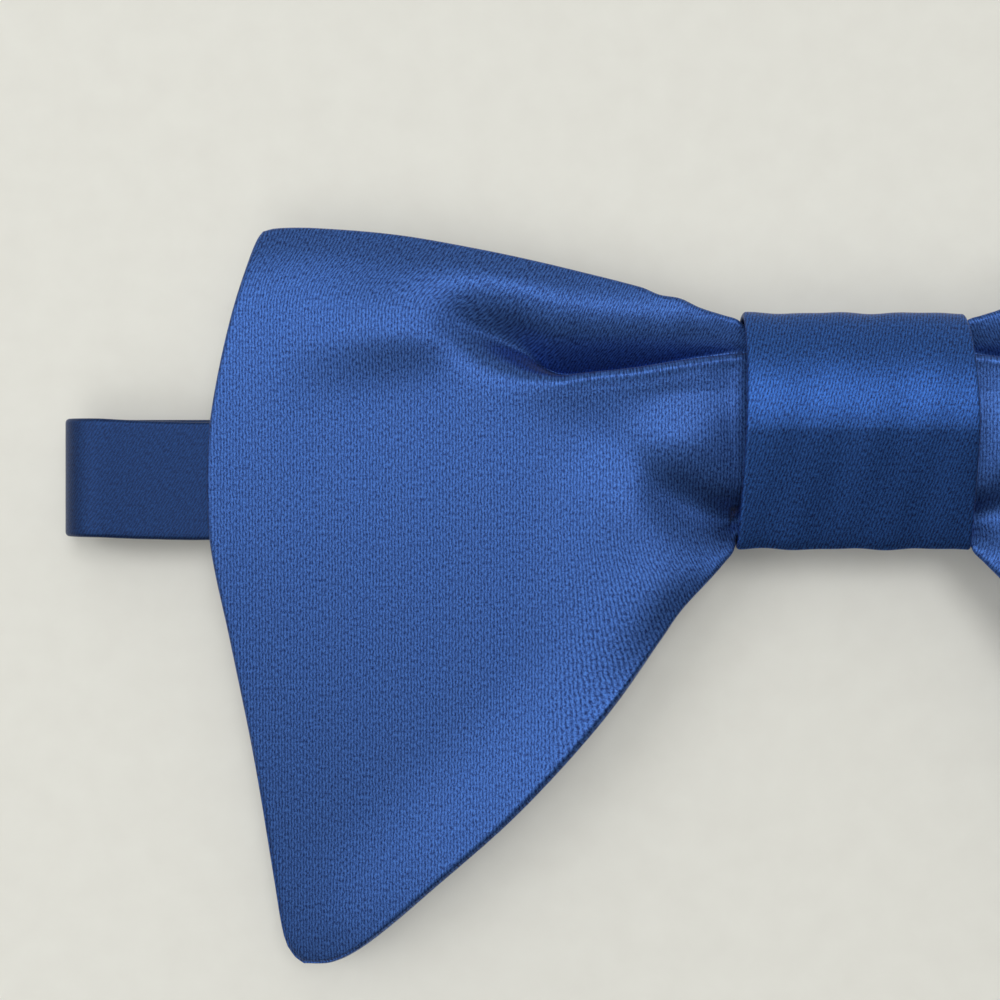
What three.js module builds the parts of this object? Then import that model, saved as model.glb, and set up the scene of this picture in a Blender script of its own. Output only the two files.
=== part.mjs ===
// A pre-tied bow tie with long drooping wings, lying face up on a flat surface.
// Millimetres. +Z is up, +Y points to the bow's upper edge, and the right wing is at +X.
// The origin is on the surface that the bow tie lies on, under the middle of the wrap.

import * as THREE from 'three';
import { mergeVertices } from 'three/addons/utils/BufferGeometryUtils.js';

// Driving sizes

const WING_THICKNESS = 2.4;
const WING_END = 0.4;
const WING_LENGTH = 100;
const WING_MOUTH_U = 0.172;
const WING_STEPS_GATHERED = 5;
const WING_STEPS_OUT = 21;
const WING_STEPS_BELOW = 11;
const WING_STEPS_ABOVE = 5;
const EDGE_STEPS = [0, 0.12, 0.45, 1.2];
const CREASE_STEPS = [0.5, 1.1, 1.9, 2.8];
const TOP_ROLL_WIDTH = 13;
const LOWER_ROLL_WIDTH = 20;

const WRAP_HALF_HEIGHT = 18.5;
const WRAP_HALF_DEPTH = 6.35;
const WRAP_HALF_WIDTH = 17.85;
const WRAP_SLANT = 0.45;
const WRAP_MIDDLE_Z = 12.6;
const WRAP_WALL = 1.0;
const WRAP_FRONT_ROUNDNESS = 1.45;
const WRAP_BACK_ROUNDNESS = 2.6;
const WRAP_LIFT = 0.14;
const WRAP_SIDES = 40;
const WRAP_STEPS = 8;

const BAND_WIDTH = 19;
const BAND_THICKNESS = 1.6;
const BAND_EDGE = 0.5;
const BAND_STEP = 5;

const CLASP_X = 62;
const CLASP_LENGTH = 7;
const CLASP_BAR = 1.0;
const CLASP_CLEARANCE = 0.3;
const CLASP_RAMP = 12;

// The wing's outline, seen from above, and the height of the middle of its thickness.
// out is the distance from the middle of the bow, u runs from the middle out, v from the tip up.

const TOP_EDGE = [
  { u: 0.0, out: WING_END, y: 15.5, z: 13.1 },
  { u: 0.12, out: 12.6, y: 15.7, z: 13.0 },
  { u: 0.172, out: 18.3, y: 16.4, z: 12.9 },
  { u: 0.177, out: 18.7, y: 17.4, z: 12.9 },
  { u: 0.19, out: 19.9, y: 18.1, z: 12.9 },
  { u: 0.23, out: 23.9, y: 19.4, z: 13.1 },
  { u: 0.26, out: 27.1, y: 20.9, z: 13.3 },
  { u: 0.29, out: 30.2, y: 21.5, z: 13.4 },
  { u: 0.33, out: 33.3, y: 22.8, z: 13.5 },
  { u: 0.46, out: 45.9, y: 26.1, z: 13.4 },
  { u: 0.59, out: 58.6, y: 28.9, z: 13.1 },
  { u: 0.72, out: 71.3, y: 31.2, z: 12.6 },
  { u: 0.86, out: 84.0, y: 32.3, z: 12.0 },
  { u: 0.95, out: 90.6, y: 32.3, z: 11.6 },
  { u: 1.0, out: 93.0, y: 31.7, z: 11.4 },
];

const LOWER_EDGE = [
  { u: 0.0, out: WING_END, y: -15.3, z: 12.2 },
  { u: 0.12, out: 13.0, y: -15.3, z: 12.2 },
  { u: 0.172, out: 18.3, y: -15.9, z: 12.2 },
  { u: 0.177, out: 18.8, y: -18.9, z: 11.9 },
  { u: 0.19, out: 20.1, y: -20.8, z: 11.9 },
  { u: 0.21, out: 22.4, y: -23.1, z: 12.2 },
  { u: 0.245, out: 26.9, y: -27.6, z: 12.9 },
  { u: 0.29, out: 30.5, y: -32.6, z: 13.7 },
  { u: 0.375, out: 37.2, y: -41.8, z: 14.1 },
  { u: 0.47, out: 45.0, y: -51.0, z: 14.1 },
  { u: 0.58, out: 54.0, y: -60.5, z: 13.6 },
  { u: 0.7, out: 64.6, y: -70.1, z: 12.5 },
  { u: 0.84, out: 75.6, y: -79.9, z: 10.6 },
  { u: 0.93, out: 81.5, y: -83.8, z: 8.8 },
  { u: 1.0, out: 86.5, y: -84.6, z: 7.4 },
];

const OUTER_EDGE = [
  { v: 0.0, out: 86.5, y: -84.6, z: 7.4 },
  { v: 0.02, out: 88.6, y: -83.0, z: 7.4 },
  { v: 0.045, out: 89.9, y: -80.0, z: 7.6 },
  { v: 0.12, out: 91.3, y: -71.5, z: 8.5 },
  { v: 0.28, out: 94.3, y: -52.1, z: 9.8 },
  { v: 0.44, out: 98.0, y: -33.0, z: 10.7 },
  { v: 0.56, out: 100.9, y: -18.7, z: 11.2 },
  { v: 0.64, out: 101.5, y: -9.2, z: 11.4 },
  { v: 0.72, out: 101.1, y: 0.3, z: 11.6 },
  { v: 0.785, out: 99.9, y: 8.1, z: 11.7 },
  { v: 0.87, out: 97.8, y: 17.6, z: 11.6 },
  { v: 0.945, out: 95.3, y: 26.1, z: 11.5 },
  { v: 0.985, out: 93.9, y: 30.3, z: 11.4 },
  { v: 1.0, out: 93.0, y: 31.7, z: 11.4 },
];

const GATHERED_END = [
  { v: 0.0, out: WING_END, y: -15.3, z: 12.2 },
  { v: 0.25, out: WING_END, y: -8.0, z: 13.3 },
  { v: 0.5, out: WING_END, y: 0.0, z: 13.9 },
  { v: 0.75, out: WING_END, y: 8.0, z: 13.8 },
  { v: 1.0, out: WING_END, y: 15.5, z: 13.1 },
];

// The strip along the top edge rolls down by this much at the edge itself.

const TOP_ROLL = [
  { u: 0.0, drop: 0.0 },
  { u: 0.186, drop: 0.4 },
  { u: 0.25, drop: 1.2 },
  { u: 0.35, drop: 2.4 },
  { u: 0.5, drop: 3.2 },
  { u: 0.65, drop: 3.1 },
  { u: 0.8, drop: 2.6 },
  { u: 1.0, drop: 2.4 },
];

// The strip along the lower edge curls up by this much at the edge itself.

const LOWER_ROLL = [
  { u: 0.0, rise: 0.0 },
  { u: 0.25, rise: 0.0 },
  { u: 0.33, rise: 0.8 },
  { u: 0.42, rise: 1.9 },
  { u: 0.6, rise: 2.0 },
  { u: 0.75, rise: 1.7 },
  { u: 0.9, rise: 1.1 },
  { u: 1.0, rise: 0.6 },
];

// The pleat runs out from the wrap. Below its crease the cloth stands up in a ridge, and a steep wall
// leads down to a valley above it. ridge and valley are heights, ridge_spread and valley_spread
// widths, crease is the wall's half width, and lean steepens it by moving its foot and head in y.

const PLEAT = [
  { out: 0.0, y: 12.0, ridge: 0.0, valley: 1.0, ridge_spread: 5.0, valley_spread: 4.0, lean: 0.1, crease: 1.4 },
  { out: 16.0, y: 11.9, ridge: 0.4, valley: 1.8, ridge_spread: 6.0, valley_spread: 4.5, lean: 0.28, crease: 1.4 },
  { out: 24.0, y: 11.1, ridge: 0.8, valley: 3.3, ridge_spread: 6.0, valley_spread: 5.0, lean: 0.28, crease: 1.4 },
  { out: 34.0, y: 9.6, ridge: 1.4, valley: 5.2, ridge_spread: 7.0, valley_spread: 6.2, lean: 0.28, crease: 1.4 },
  { out: 42.0, y: 8.9, ridge: 1.3, valley: 5.6, ridge_spread: 7.0, valley_spread: 6.7, lean: 0.28, crease: 1.4 },
  { out: 47.0, y: 8.6, ridge: 1.4, valley: 5.9, ridge_spread: 7.0, valley_spread: 7.4, lean: 0.28, crease: 1.4 },
  { out: 52.0, y: 9.2, ridge: 1.2, valley: 6.0, ridge_spread: 7.0, valley_spread: 8.2, lean: 0.2, crease: 1.4 },
  { out: 57.0, y: 10.4, ridge: 0.9, valley: 5.4, ridge_spread: 7.0, valley_spread: 8.7, lean: 0.1, crease: 2.2 },
  { out: 62.0, y: 12.2, ridge: 0.5, valley: 3.6, ridge_spread: 7.0, valley_spread: 8.0, lean: 0.0, crease: 3.0 },
  { out: 67.0, y: 13.6, ridge: 0.2, valley: 1.6, ridge_spread: 7.0, valley_spread: 7.0, lean: 0.0, crease: 3.6 },
  { out: 74.0, y: 14.6, ridge: 0.0, valley: 0.4, ridge_spread: 7.0, valley_spread: 6.0, lean: 0.0, crease: 4.0 },
  { out: 84.0, y: 15.0, ridge: 0.0, valley: 0.0, ridge_spread: 7.0, valley_spread: 6.0, lean: 0.0, crease: 4.0 },
];

// The other folds are long rounded swellings, up or down, across the line from the wrap.

const DENT = [
  { out: 0.0, y: -12.0, height: -0.6, spread_below: 3.0, spread_above: 3.0 },
  { out: 14.0, y: -12.6, height: -1.4, spread_below: 3.0, spread_above: 3.2 },
  { out: 18.3, y: -13.6, height: -1.9, spread_below: 2.3, spread_above: 4.0 },
  { out: 20.0, y: -14.0, height: -3.2, spread_below: 4.0, spread_above: 4.3 },
  { out: 22.0, y: -13.8, height: -3.1, spread_below: 5.5, spread_above: 4.7 },
  { out: 24.5, y: -12.6, height: -2.5, spread_below: 6.0, spread_above: 5.0 },
  { out: 27.5, y: -10.8, height: -2.5, spread_below: 6.5, spread_above: 5.3 },
  { out: 31.0, y: -8.6, height: -2.0, spread_below: 6.5, spread_above: 5.2 },
  { out: 35.0, y: -5.8, height: -1.0, spread_below: 6.5, spread_above: 5.0 },
  { out: 40.0, y: -2.5, height: -0.3, spread_below: 6.0, spread_above: 5.0 },
  { out: 45.0, y: 0.0, height: 0.0, spread_below: 6.0, spread_above: 5.0 },
];

const LOWER_RIDGE = [
  { out: 0.0, y: -16.5, height: 0.0, spread_below: 3.0, spread_above: 3.0 },
  { out: 16.0, y: -17.5, height: 0.1, spread_below: 3.0, spread_above: 3.0 },
  { out: 22.0, y: -20.0, height: 0.5, spread_below: 4.0, spread_above: 4.0 },
  { out: 28.0, y: -23.0, height: 0.5, spread_below: 6.0, spread_above: 6.0 },
  { out: 38.0, y: -28.0, height: 0.3, spread_below: 9.0, spread_above: 9.0 },
  { out: 50.0, y: -34.0, height: 0.0, spread_below: 12.0, spread_above: 12.0 },
];

const PILLOW = [
  { out: 52.0, y: 16.0, height: 0.0, spread_below: 5.0, spread_above: 5.0 },
  { out: 61.0, y: 16.0, height: 0.4, spread_below: 5.0, spread_above: 6.0 },
  { out: 68.0, y: 15.8, height: 1.3, spread_below: 5.2, spread_above: 7.0 },
  { out: 76.0, y: 15.2, height: 1.4, spread_below: 5.6, spread_above: 8.0 },
  { out: 84.0, y: 14.5, height: 0.7, spread_below: 6.0, spread_above: 8.0 },
  { out: 92.0, y: 14.0, height: 0.0, spread_below: 7.0, spread_above: 8.0 },
];

// A soft ridge sweeps down from the wrap along the lower edge: out is its place at each y.

const SWEEP = [
  { y: -64.0, out: 52.0, height: 0.0, spread: 9.0 },
  { y: -52.0, out: 44.0, height: 0.2, spread: 9.0 },
  { y: -40.0, out: 40.0, height: 0.5, spread: 9.0 },
  { y: -26.0, out: 38.0, height: 0.8, spread: 9.0 },
  { y: -10.0, out: 35.0, height: 1.3, spread: 8.0 },
  { y: -4.0, out: 31.0, height: 1.2, spread: 8.0 },
  { y: 2.0, out: 26.0, height: 0.6, spread: 8.0 },
  { y: 6.0, out: 22.0, height: 0.0, spread: 8.0 },
];

// How far the middle of the face stands off the level of its edges.

const FACE_SWELL = [
  { u: 0.0, height: 0.0 },
  { u: 0.16, height: 0.0 },
  { u: 0.3, height: -0.8 },
  { u: 0.45, height: -1.9 },
  { u: 0.75, height: -2.0 },
  { u: 0.9, height: -1.0 },
  { u: 1.0, height: 0.0 },
];

// Each side's own share of the folds' height: the two wings are sewn alike, but fall a little apart.

const WINGS = [
  { name: 'left_wing', side: -1, folds: 1.0 },
  { name: 'right_wing', side: 1, folds: 0.92 },
];

// Half of the neck band's upper stretch, its middle line from behind the wrap out to the fold, where
// it turns down and comes back straight along the surface.

const BAND_FOLD_OUT = 118.7;
const BAND_FOLD_TOP = 10.2;
const BAND_FOLD_STEPS = 12;
const BAND_FOLD_REACH = 1.25;
const BAND_LOWER_Y = -7.0;
const BAND_UPPER = [
  { out: 0.0, y: -0.2, z: 8.95 },
  { out: 18.3, y: -0.7, z: 8.95 },
  { out: 22.0, y: -0.8, z: 8.4 },
  { out: 26.0, y: -1.3, z: 7.95 },
  { out: 33.0, y: -2.7, z: 7.8 },
  { out: 45.0, y: -4.1, z: 8.1 },
  { out: 60.0, y: -5.3, z: 8.4 },
  { out: 100.0, y: -7.7, z: 8.6 },
  { out: 112.0, y: -7.6, z: 9.4 },
  { out: BAND_FOLD_OUT, y: -7.3, z: BAND_FOLD_TOP },
];

// Finishes

const satin = () => new THREE.MeshStandardMaterial({ color: 0x2a4c9c, roughness: 0.42, metalness: 0 });
const steel = () => new THREE.MeshStandardMaterial({ color: 0xb9bcc0, roughness: 0.3, metalness: 1 });

// Reads a table at a value of its column key. The column name is joined by cubic pieces, and the
// slope at each row is the slope between its neighbours.
function smooth(rows, key, name, at) {
  const last = rows.length - 1;
  if (at <= rows[0][key]) return rows[0][name];
  if (at >= rows[last][key]) return rows[last][name];
  let i = 0;
  while (rows[i + 1][key] < at) i += 1;
  const slope = (k) => {
    const before = rows[Math.max(k - 1, 0)];
    const after = rows[Math.min(k + 1, last)];
    return (after[name] - before[name]) / (after[key] - before[key]);
  };
  const step = rows[i + 1][key] - rows[i][key];
  const t = (at - rows[i][key]) / step;
  const t2 = t * t;
  const t3 = t2 * t;
  return (
    (2 * t3 - 3 * t2 + 1) * rows[i][name] +
    (t3 - 2 * t2 + t) * step * slope(i) +
    (3 * t2 - 2 * t3) * rows[i + 1][name] +
    (t3 - t2) * step * slope(i + 1)
  );
}

const bell = (x) => Math.exp(-x * x);

// The wing's height across the bow, from its lower edge to its top edge.
const wingHeight = (u) => smooth(TOP_EDGE, 'u', 'y', u) - smooth(LOWER_EDGE, 'u', 'y', u);

// A point on the outline: even steps from the lower edge to the top edge, with the two ends' own
// departures from straight lines, which fade towards the other end, faster for the height.
function outlinePoint(u, v) {
  const read = (name, near, far) => {
    const across = (rows, at) => (1 - v) * at(rows[0]) + v * at(rows[rows.length - 1]);
    const even = (1 - v) * smooth(LOWER_EDGE, 'u', name, u) + v * smooth(TOP_EDGE, 'u', name, u);
    const inner = smooth(GATHERED_END, 'v', name, v) - across(GATHERED_END, (row) => row[name]);
    const outer = smooth(OUTER_EDGE, 'v', name, v) - across(OUTER_EDGE, (row) => row[name]);
    return even + near * inner + far * outer;
  };
  const rolled = Math.max(1 - ((1 - v) * wingHeight(u)) / TOP_ROLL_WIDTH, 0);
  const curled = Math.max(1 - (v * wingHeight(u)) / LOWER_ROLL_WIDTH, 0);
  const drop = smooth(TOP_ROLL, 'u', 'drop', u) * rolled * rolled;
  const rise = smooth(LOWER_ROLL, 'u', 'rise', u) * curled * curled;
  const z = read('z', (1 - u) * (1 - u), u * u * u) - drop + rise;
  return { out: read('out', 1 - u, u), y: read('y', 1 - u, u), z };
}

// A long swelling: a bell across its line, in the table's height and widths at that distance out.
function swelling(rows, out, y) {
  const height = smooth(rows, 'out', 'height', out);
  const offLine = y - smooth(rows, 'out', 'y', out);
  return height * bell(offLine / smooth(rows, 'out', offLine > 0 ? 'spread_above' : 'spread_below', out));
}

// The middle of the wing's thickness, with its folds.
function wingMiddle(u, v, folds) {
  const p = outlinePoint(u, v);
  const read = (name) => smooth(PLEAT, 'out', name, p.out);
  const turn = (p.y - read('y')) / read('crease');
  const above = 0.5 * (1 + Math.tanh(turn));
  const off = p.y - read('y');
  const ridge = read('ridge') * bell(off / read('ridge_spread') - 0.4) * (1 - above);
  const valley = read('valley') * bell(off / read('valley_spread')) * above;
  const lean = read('lean') * turn * Math.exp(0.5 - 0.5 * turn * turn);
  const share = THREE.MathUtils.clamp((p.y - smooth(LOWER_EDGE, 'u', 'y', u)) / wingHeight(u), 0, 1);
  const swell = smooth(FACE_SWELL, 'u', 'height', u) * Math.pow(4 * share * (1 - share), 0.6);
  const offSweep = (p.out - smooth(SWEEP, 'y', 'out', p.y)) / smooth(SWEEP, 'y', 'spread', p.y);
  const sweep = smooth(SWEEP, 'y', 'height', p.y) * bell(offSweep);
  const others = [DENT, LOWER_RIDGE, PILLOW].map((rows) => swelling(rows, p.out, p.y));
  const lift = others.reduce((sum, height) => sum + height, ridge - valley + sweep);
  return new THREE.Vector3(p.out, p.y - folds * lean, p.z + swell + folds * lift);
}

// How far the wing's faces stand from its middle: full inside, and a half round at its edge.
function halfThickness(distance) {
  const half = WING_THICKNESS / 2;
  const inside = 1 - Math.min(distance / half, 1);
  return Math.sqrt(Math.max(1 - inside * inside, 0));
}

// Even steps between two places, without the ends.
function between(from, to, count) {
  return Array.from({ length: count - 1 }, (_, k) => from + ((to - from) * (k + 1)) / count);
}

// The distances from the lower edge of the lines along the wing, of which one is the crease's.
function linesAcross(u, height) {
  let low = 0;
  let high = 1;
  for (let i = 0; i < 30; i += 1) {
    const v = (low + high) / 2;
    const p = outlinePoint(u, v);
    if (p.y < smooth(PLEAT, 'out', 'y', p.out)) low = v;
    else high = v;
  }
  const crease = low * height;
  const edge = EDGE_STEPS[EDGE_STEPS.length - 1];
  const near = CREASE_STEPS[CREASE_STEPS.length - 1];
  return [
    ...EDGE_STEPS,
    ...between(edge, crease - near, WING_STEPS_BELOW),
    ...CREASE_STEPS.map((d) => crease - d).reverse(),
    crease,
    ...CREASE_STEPS.map((d) => crease + d),
    ...between(crease + near, height - edge, WING_STEPS_ABOVE),
    ...EDGE_STEPS.map((d) => height - d).reverse(),
  ];
}

// The shares of the lines across the wing: even inside the wrap, then wider and wider apart.
function linesOut() {
  const gatheredStep = WING_MOUTH_U / WING_STEPS_GATHERED;
  const gathered = Array.from({ length: WING_STEPS_GATHERED }, (_, k) => k * gatheredStep);
  const end = 1 - EDGE_STEPS[EDGE_STEPS.length - 1] / WING_LENGTH;
  const free = Array.from({ length: WING_STEPS_OUT }, (_, k) => {
    const share = k / WING_STEPS_OUT;
    return WING_MOUTH_U + (end - WING_MOUTH_U) * (0.45 * share + 0.55 * share * share);
  });
  return [...gathered, ...free, ...EDGE_STEPS.map((d) => 1 - d / WING_LENGTH).reverse()];
}

// Turns a list of triangles' corners into a closed mesh whose corners are shared.
function closedGeometry(corners) {
  const geometry = new THREE.BufferGeometry();
  const numbers = corners.flatMap((p) => [p.x, p.y, p.z]);
  geometry.setAttribute('position', new THREE.Float32BufferAttribute(numbers, 3));
  const merged = mergeVertices(geometry, 1e-3);
  const index = merged.index.array;
  const kept = [];
  for (let i = 0; i < index.length; i += 3) {
    const [a, b, c] = [index[i], index[i + 1], index[i + 2]];
    if (a !== b && b !== c && c !== a) kept.push(a, b, c);
  }
  merged.setIndex(kept);
  merged.computeVertexNormals();
  return merged;
}

// Four corners in order make two triangles, turned over when flip is true.
function addQuad(corners, a, b, c, d, flip) {
  const order = flip ? [a, c, b, a, d, c] : [a, b, c, a, c, d];
  corners.push(...order);
}

// One wing: a front and a back face that stand off the middle surface and meet at its edges.
function wingGeometry(side, folds) {
  const us = linesOut();
  const step = 1e-3;
  const front = [];
  const back = [];
  for (const u of us) {
    const height = wingHeight(u);
    const vs = linesAcross(u, height).map((d) => d / height);
    const frontLine = [];
    const backLine = [];
    for (const v of vs) {
      const uc = THREE.MathUtils.clamp(u, 4 * step, 1 - 4 * step);
      const vc = THREE.MathUtils.clamp(v, 4 * step, 1 - 4 * step);
      const alongU = wingMiddle(uc + step, vc, folds).sub(wingMiddle(uc - step, vc, folds));
      const alongV = wingMiddle(uc, vc + step, folds).sub(wingMiddle(uc, vc - step, folds));
      const normal = alongU.cross(alongV).normalize();
      const half =
        (WING_THICKNESS / 2) *
        halfThickness(v * height) *
        halfThickness((1 - v) * height) *
        halfThickness((1 - u) * WING_LENGTH);
      const middle = wingMiddle(u, v, folds);
      frontLine.push(middle.clone().addScaledVector(normal, half));
      backLine.push(middle.clone().addScaledVector(normal, -half));
    }
    front.push(frontLine);
    back.push(backLine);
  }
  const place = (p) => new THREE.Vector3(side * p.x, p.y, p.z);
  const corners = [];
  const mirrored = side < 0;
  const last = front[0].length - 1;
  for (let j = 0; j < last; j += 1) {
    for (let i = 0; i < us.length - 1; i += 1) {
      const f = [front[i][j], front[i + 1][j], front[i + 1][j + 1], front[i][j + 1]].map(place);
      const b = [back[i][j], back[i + 1][j], back[i + 1][j + 1], back[i][j + 1]].map(place);
      addQuad(corners, ...f, mirrored);
      addQuad(corners, ...b, !mirrored);
    }
    const cap = [front[0][j], front[0][j + 1], back[0][j + 1], back[0][j]].map(place);
    addQuad(corners, ...cap, mirrored);
  }
  return closedGeometry(corners);
}

// The wrap's section across the bow at an angle from +Y: a rounded oval, whose front is nearer to a
// roof than its back and stands higher towards the upper edge.
function wrapSection(angle, halfHeight, halfDepth) {
  const c = Math.cos(angle);
  const s = Math.sin(angle);
  const power = 2 / (s > 0 ? WRAP_FRONT_ROUNDNESS : WRAP_BACK_ROUNDNESS);
  const y = halfHeight * Math.sign(c) * Math.pow(Math.abs(c), power);
  const depth = halfDepth + (s > 0 ? WRAP_LIFT * y : 0);
  return { y, z: WRAP_MIDDLE_Z + depth * Math.sign(s) * Math.pow(Math.abs(s), power) };
}

// The wrap: a wall round the gathered middle, open at both ends, with a rounded rim at each.
function wrapGeometry() {
  const profile = [];
  const rim = WRAP_WALL / 2;
  for (let i = 0; i <= WRAP_STEPS; i += 1) {
    profile.push({ along: -1 + (2 * i) / WRAP_STEPS, short: rim, inset: 0 });
  }
  profile.push({ along: 1, short: 0.15 * rim, inset: 0.5 * rim });
  profile.push({ along: 1, short: 0.15 * rim, inset: 1.5 * rim });
  for (let i = WRAP_STEPS; i >= 0; i -= 1) {
    profile.push({ along: -1 + (2 * i) / WRAP_STEPS, short: rim, inset: WRAP_WALL });
  }
  profile.push({ along: -1, short: 0.15 * rim, inset: 1.5 * rim });
  profile.push({ along: -1, short: 0.15 * rim, inset: 0.5 * rim });
  const point = (k, i) => {
    const row = profile[i % profile.length];
    const angle = (2 * Math.PI * (k % WRAP_SIDES)) / WRAP_SIDES;
    const { y, z } = wrapSection(angle, WRAP_HALF_HEIGHT - row.inset, WRAP_HALF_DEPTH - row.inset);
    const halfWidth = WRAP_HALF_WIDTH - (WRAP_SLANT * y) / WRAP_HALF_HEIGHT - row.short;
    return new THREE.Vector3(row.along * halfWidth, y, z);
  };
  const corners = [];
  for (let k = 0; k < WRAP_SIDES; k += 1) {
    for (let i = 0; i < profile.length; i += 1) {
      addQuad(corners, point(k, i), point(k, i + 1), point(k + 1, i + 1), point(k + 1, i), true);
    }
  }
  return closedGeometry(corners);
}

// The band's lower stretch lies on the surface, and rises only where the clasp's bar is under it.
function lowerHeight(x) {
  const rise = CLASP_BAR + CLASP_CLEARANCE;
  const off = Math.abs(x - CLASP_X);
  const flat = CLASP_LENGTH / 2 + 1;
  const share = THREE.MathUtils.clamp((flat + CLASP_RAMP - off) / CLASP_RAMP, 0, 1);
  return BAND_THICKNESS / 2 + rise * share * share * (3 - 2 * share);
}

// The middle line of the whole neck band, from behind the wrap out to the right, under and round.
function bandRoute() {
  const half = [];
  const upperSteps = Math.round(BAND_FOLD_OUT / BAND_STEP);
  for (let i = 0; i < upperSteps; i += 1) {
    const out = (BAND_FOLD_OUT * i) / upperSteps;
    const y = smooth(BAND_UPPER, 'out', 'y', out);
    half.push(new THREE.Vector3(out, y, smooth(BAND_UPPER, 'out', 'z', out)));
  }
  const foldMiddle = (BAND_FOLD_TOP + BAND_THICKNESS / 2) / 2;
  const foldRadius = BAND_FOLD_TOP - foldMiddle;
  const foldY = BAND_UPPER[BAND_UPPER.length - 1].y;
  for (let i = 0; i <= BAND_FOLD_STEPS; i += 1) {
    const share = i / BAND_FOLD_STEPS;
    const out = BAND_FOLD_OUT + BAND_FOLD_REACH * foldRadius * Math.sin(Math.PI * share);
    const y = THREE.MathUtils.lerp(foldY, BAND_LOWER_Y, share);
    half.push(new THREE.Vector3(out, y, foldMiddle + foldRadius * Math.cos(Math.PI * share)));
  }
  const left = half.slice(1).reverse().map((p) => new THREE.Vector3(-p.x, p.y, p.z));
  const lower = [];
  const lowerSteps = 2 * upperSteps;
  for (let i = 1; i < lowerSteps; i += 1) {
    const x = BAND_FOLD_OUT * (1 - (2 * i) / lowerSteps);
    lower.push(new THREE.Vector3(x, BAND_LOWER_Y, lowerHeight(x)));
  }
  return [...half, ...lower, ...left];
}

// The band: a flat strip with bevelled long edges, carried round its route as a closed loop.
function bandGeometry() {
  const route = bandRoute();
  const half = BAND_THICKNESS / 2;
  const side = BAND_WIDTH / 2;
  const section = [
    { across: -side + BAND_EDGE, out: half },
    { across: side - BAND_EDGE, out: half },
    { across: side, out: 0 },
    { across: side - BAND_EDGE, out: -half },
    { across: -side + BAND_EDGE, out: -half },
    { across: -side, out: 0 },
  ];
  const count = route.length;
  const point = (k, i) => {
    const here = route[k % count];
    const before = route[(k + count - 1) % count];
    const after = route[(k + 1) % count];
    const tangent = after.clone().sub(before);
    const normal = new THREE.Vector3(-tangent.z, 0, tangent.x).normalize();
    const p = section[i % section.length];
    return new THREE.Vector3(
      here.x + normal.x * p.out,
      here.y + p.across,
      here.z + normal.z * p.out,
    );
  };
  const corners = [];
  for (let k = 0; k < count; k += 1) {
    for (let i = 0; i < section.length; i += 1) {
      addQuad(corners, point(k, i), point(k, i + 1), point(k + 1, i + 1), point(k + 1, i), true);
    }
  }
  return closedGeometry(corners);
}

// The clasp: a rectangular metal ring that stands on the surface, with the band through it.
function claspGeometry() {
  const openHalf = BAND_WIDTH / 2 + CLASP_CLEARANCE;
  const openHeight = BAND_THICKNESS + 2 * CLASP_CLEARANCE;
  const frame = new THREE.Shape();
  frame.moveTo(-openHalf - CLASP_BAR, 0);
  frame.lineTo(openHalf + CLASP_BAR, 0);
  frame.lineTo(openHalf + CLASP_BAR, openHeight + 2 * CLASP_BAR);
  frame.lineTo(-openHalf - CLASP_BAR, openHeight + 2 * CLASP_BAR);
  frame.closePath();
  const opening = new THREE.Path();
  opening.moveTo(-openHalf, CLASP_BAR);
  opening.lineTo(-openHalf, CLASP_BAR + openHeight);
  opening.lineTo(openHalf, CLASP_BAR + openHeight);
  opening.lineTo(openHalf, CLASP_BAR);
  opening.closePath();
  frame.holes.push(opening);
  return new THREE.ExtrudeGeometry(frame, { depth: CLASP_LENGTH, bevelEnabled: false });
}

const bowTie = new THREE.Group();

for (const wing of WINGS) {
  const mesh = new THREE.Mesh(wingGeometry(wing.side, wing.folds), satin());
  mesh.name = wing.name;
  bowTie.add(mesh);
}

const wrap = new THREE.Mesh(wrapGeometry(), satin());
wrap.name = 'knot_wrap';
bowTie.add(wrap);

const band = new THREE.Mesh(bandGeometry(), satin());
band.name = 'neck_band';
bowTie.add(band);

const clasp = new THREE.Mesh(claspGeometry(), steel());
clasp.name = 'band_clasp';
clasp.rotation.set(Math.PI / 2, Math.PI / 2, 0);
clasp.position.set(CLASP_X - CLASP_LENGTH / 2, BAND_LOWER_Y, 0);
bowTie.add(clasp);

export default bowTie;
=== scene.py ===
"""A pre-tied bow tie in royal blue satin, lying face up on a pale surface.

Tables are in millimetres: out is the distance from the middle of the bow, y runs to its upper edge
and z up from the surface. Meshes are in metres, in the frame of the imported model.
"""

import logging
import math
from dataclasses import dataclass
from enum import Enum

import bpy
import numpy as np
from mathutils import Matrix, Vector


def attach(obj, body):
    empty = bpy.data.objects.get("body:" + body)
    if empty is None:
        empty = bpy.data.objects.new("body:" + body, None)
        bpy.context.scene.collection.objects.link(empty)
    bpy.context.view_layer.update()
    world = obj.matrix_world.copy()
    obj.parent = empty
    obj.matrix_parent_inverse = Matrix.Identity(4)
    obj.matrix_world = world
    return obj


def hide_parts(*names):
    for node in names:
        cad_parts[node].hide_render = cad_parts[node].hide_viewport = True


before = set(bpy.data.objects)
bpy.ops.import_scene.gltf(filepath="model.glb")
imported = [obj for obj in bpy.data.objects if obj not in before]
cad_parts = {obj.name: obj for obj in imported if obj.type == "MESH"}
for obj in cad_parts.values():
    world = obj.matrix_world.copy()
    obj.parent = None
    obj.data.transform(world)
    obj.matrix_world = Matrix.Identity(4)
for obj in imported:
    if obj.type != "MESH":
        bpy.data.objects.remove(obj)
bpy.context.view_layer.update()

MM = 0.001
LOG = logging.getLogger("bow_tie")


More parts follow.
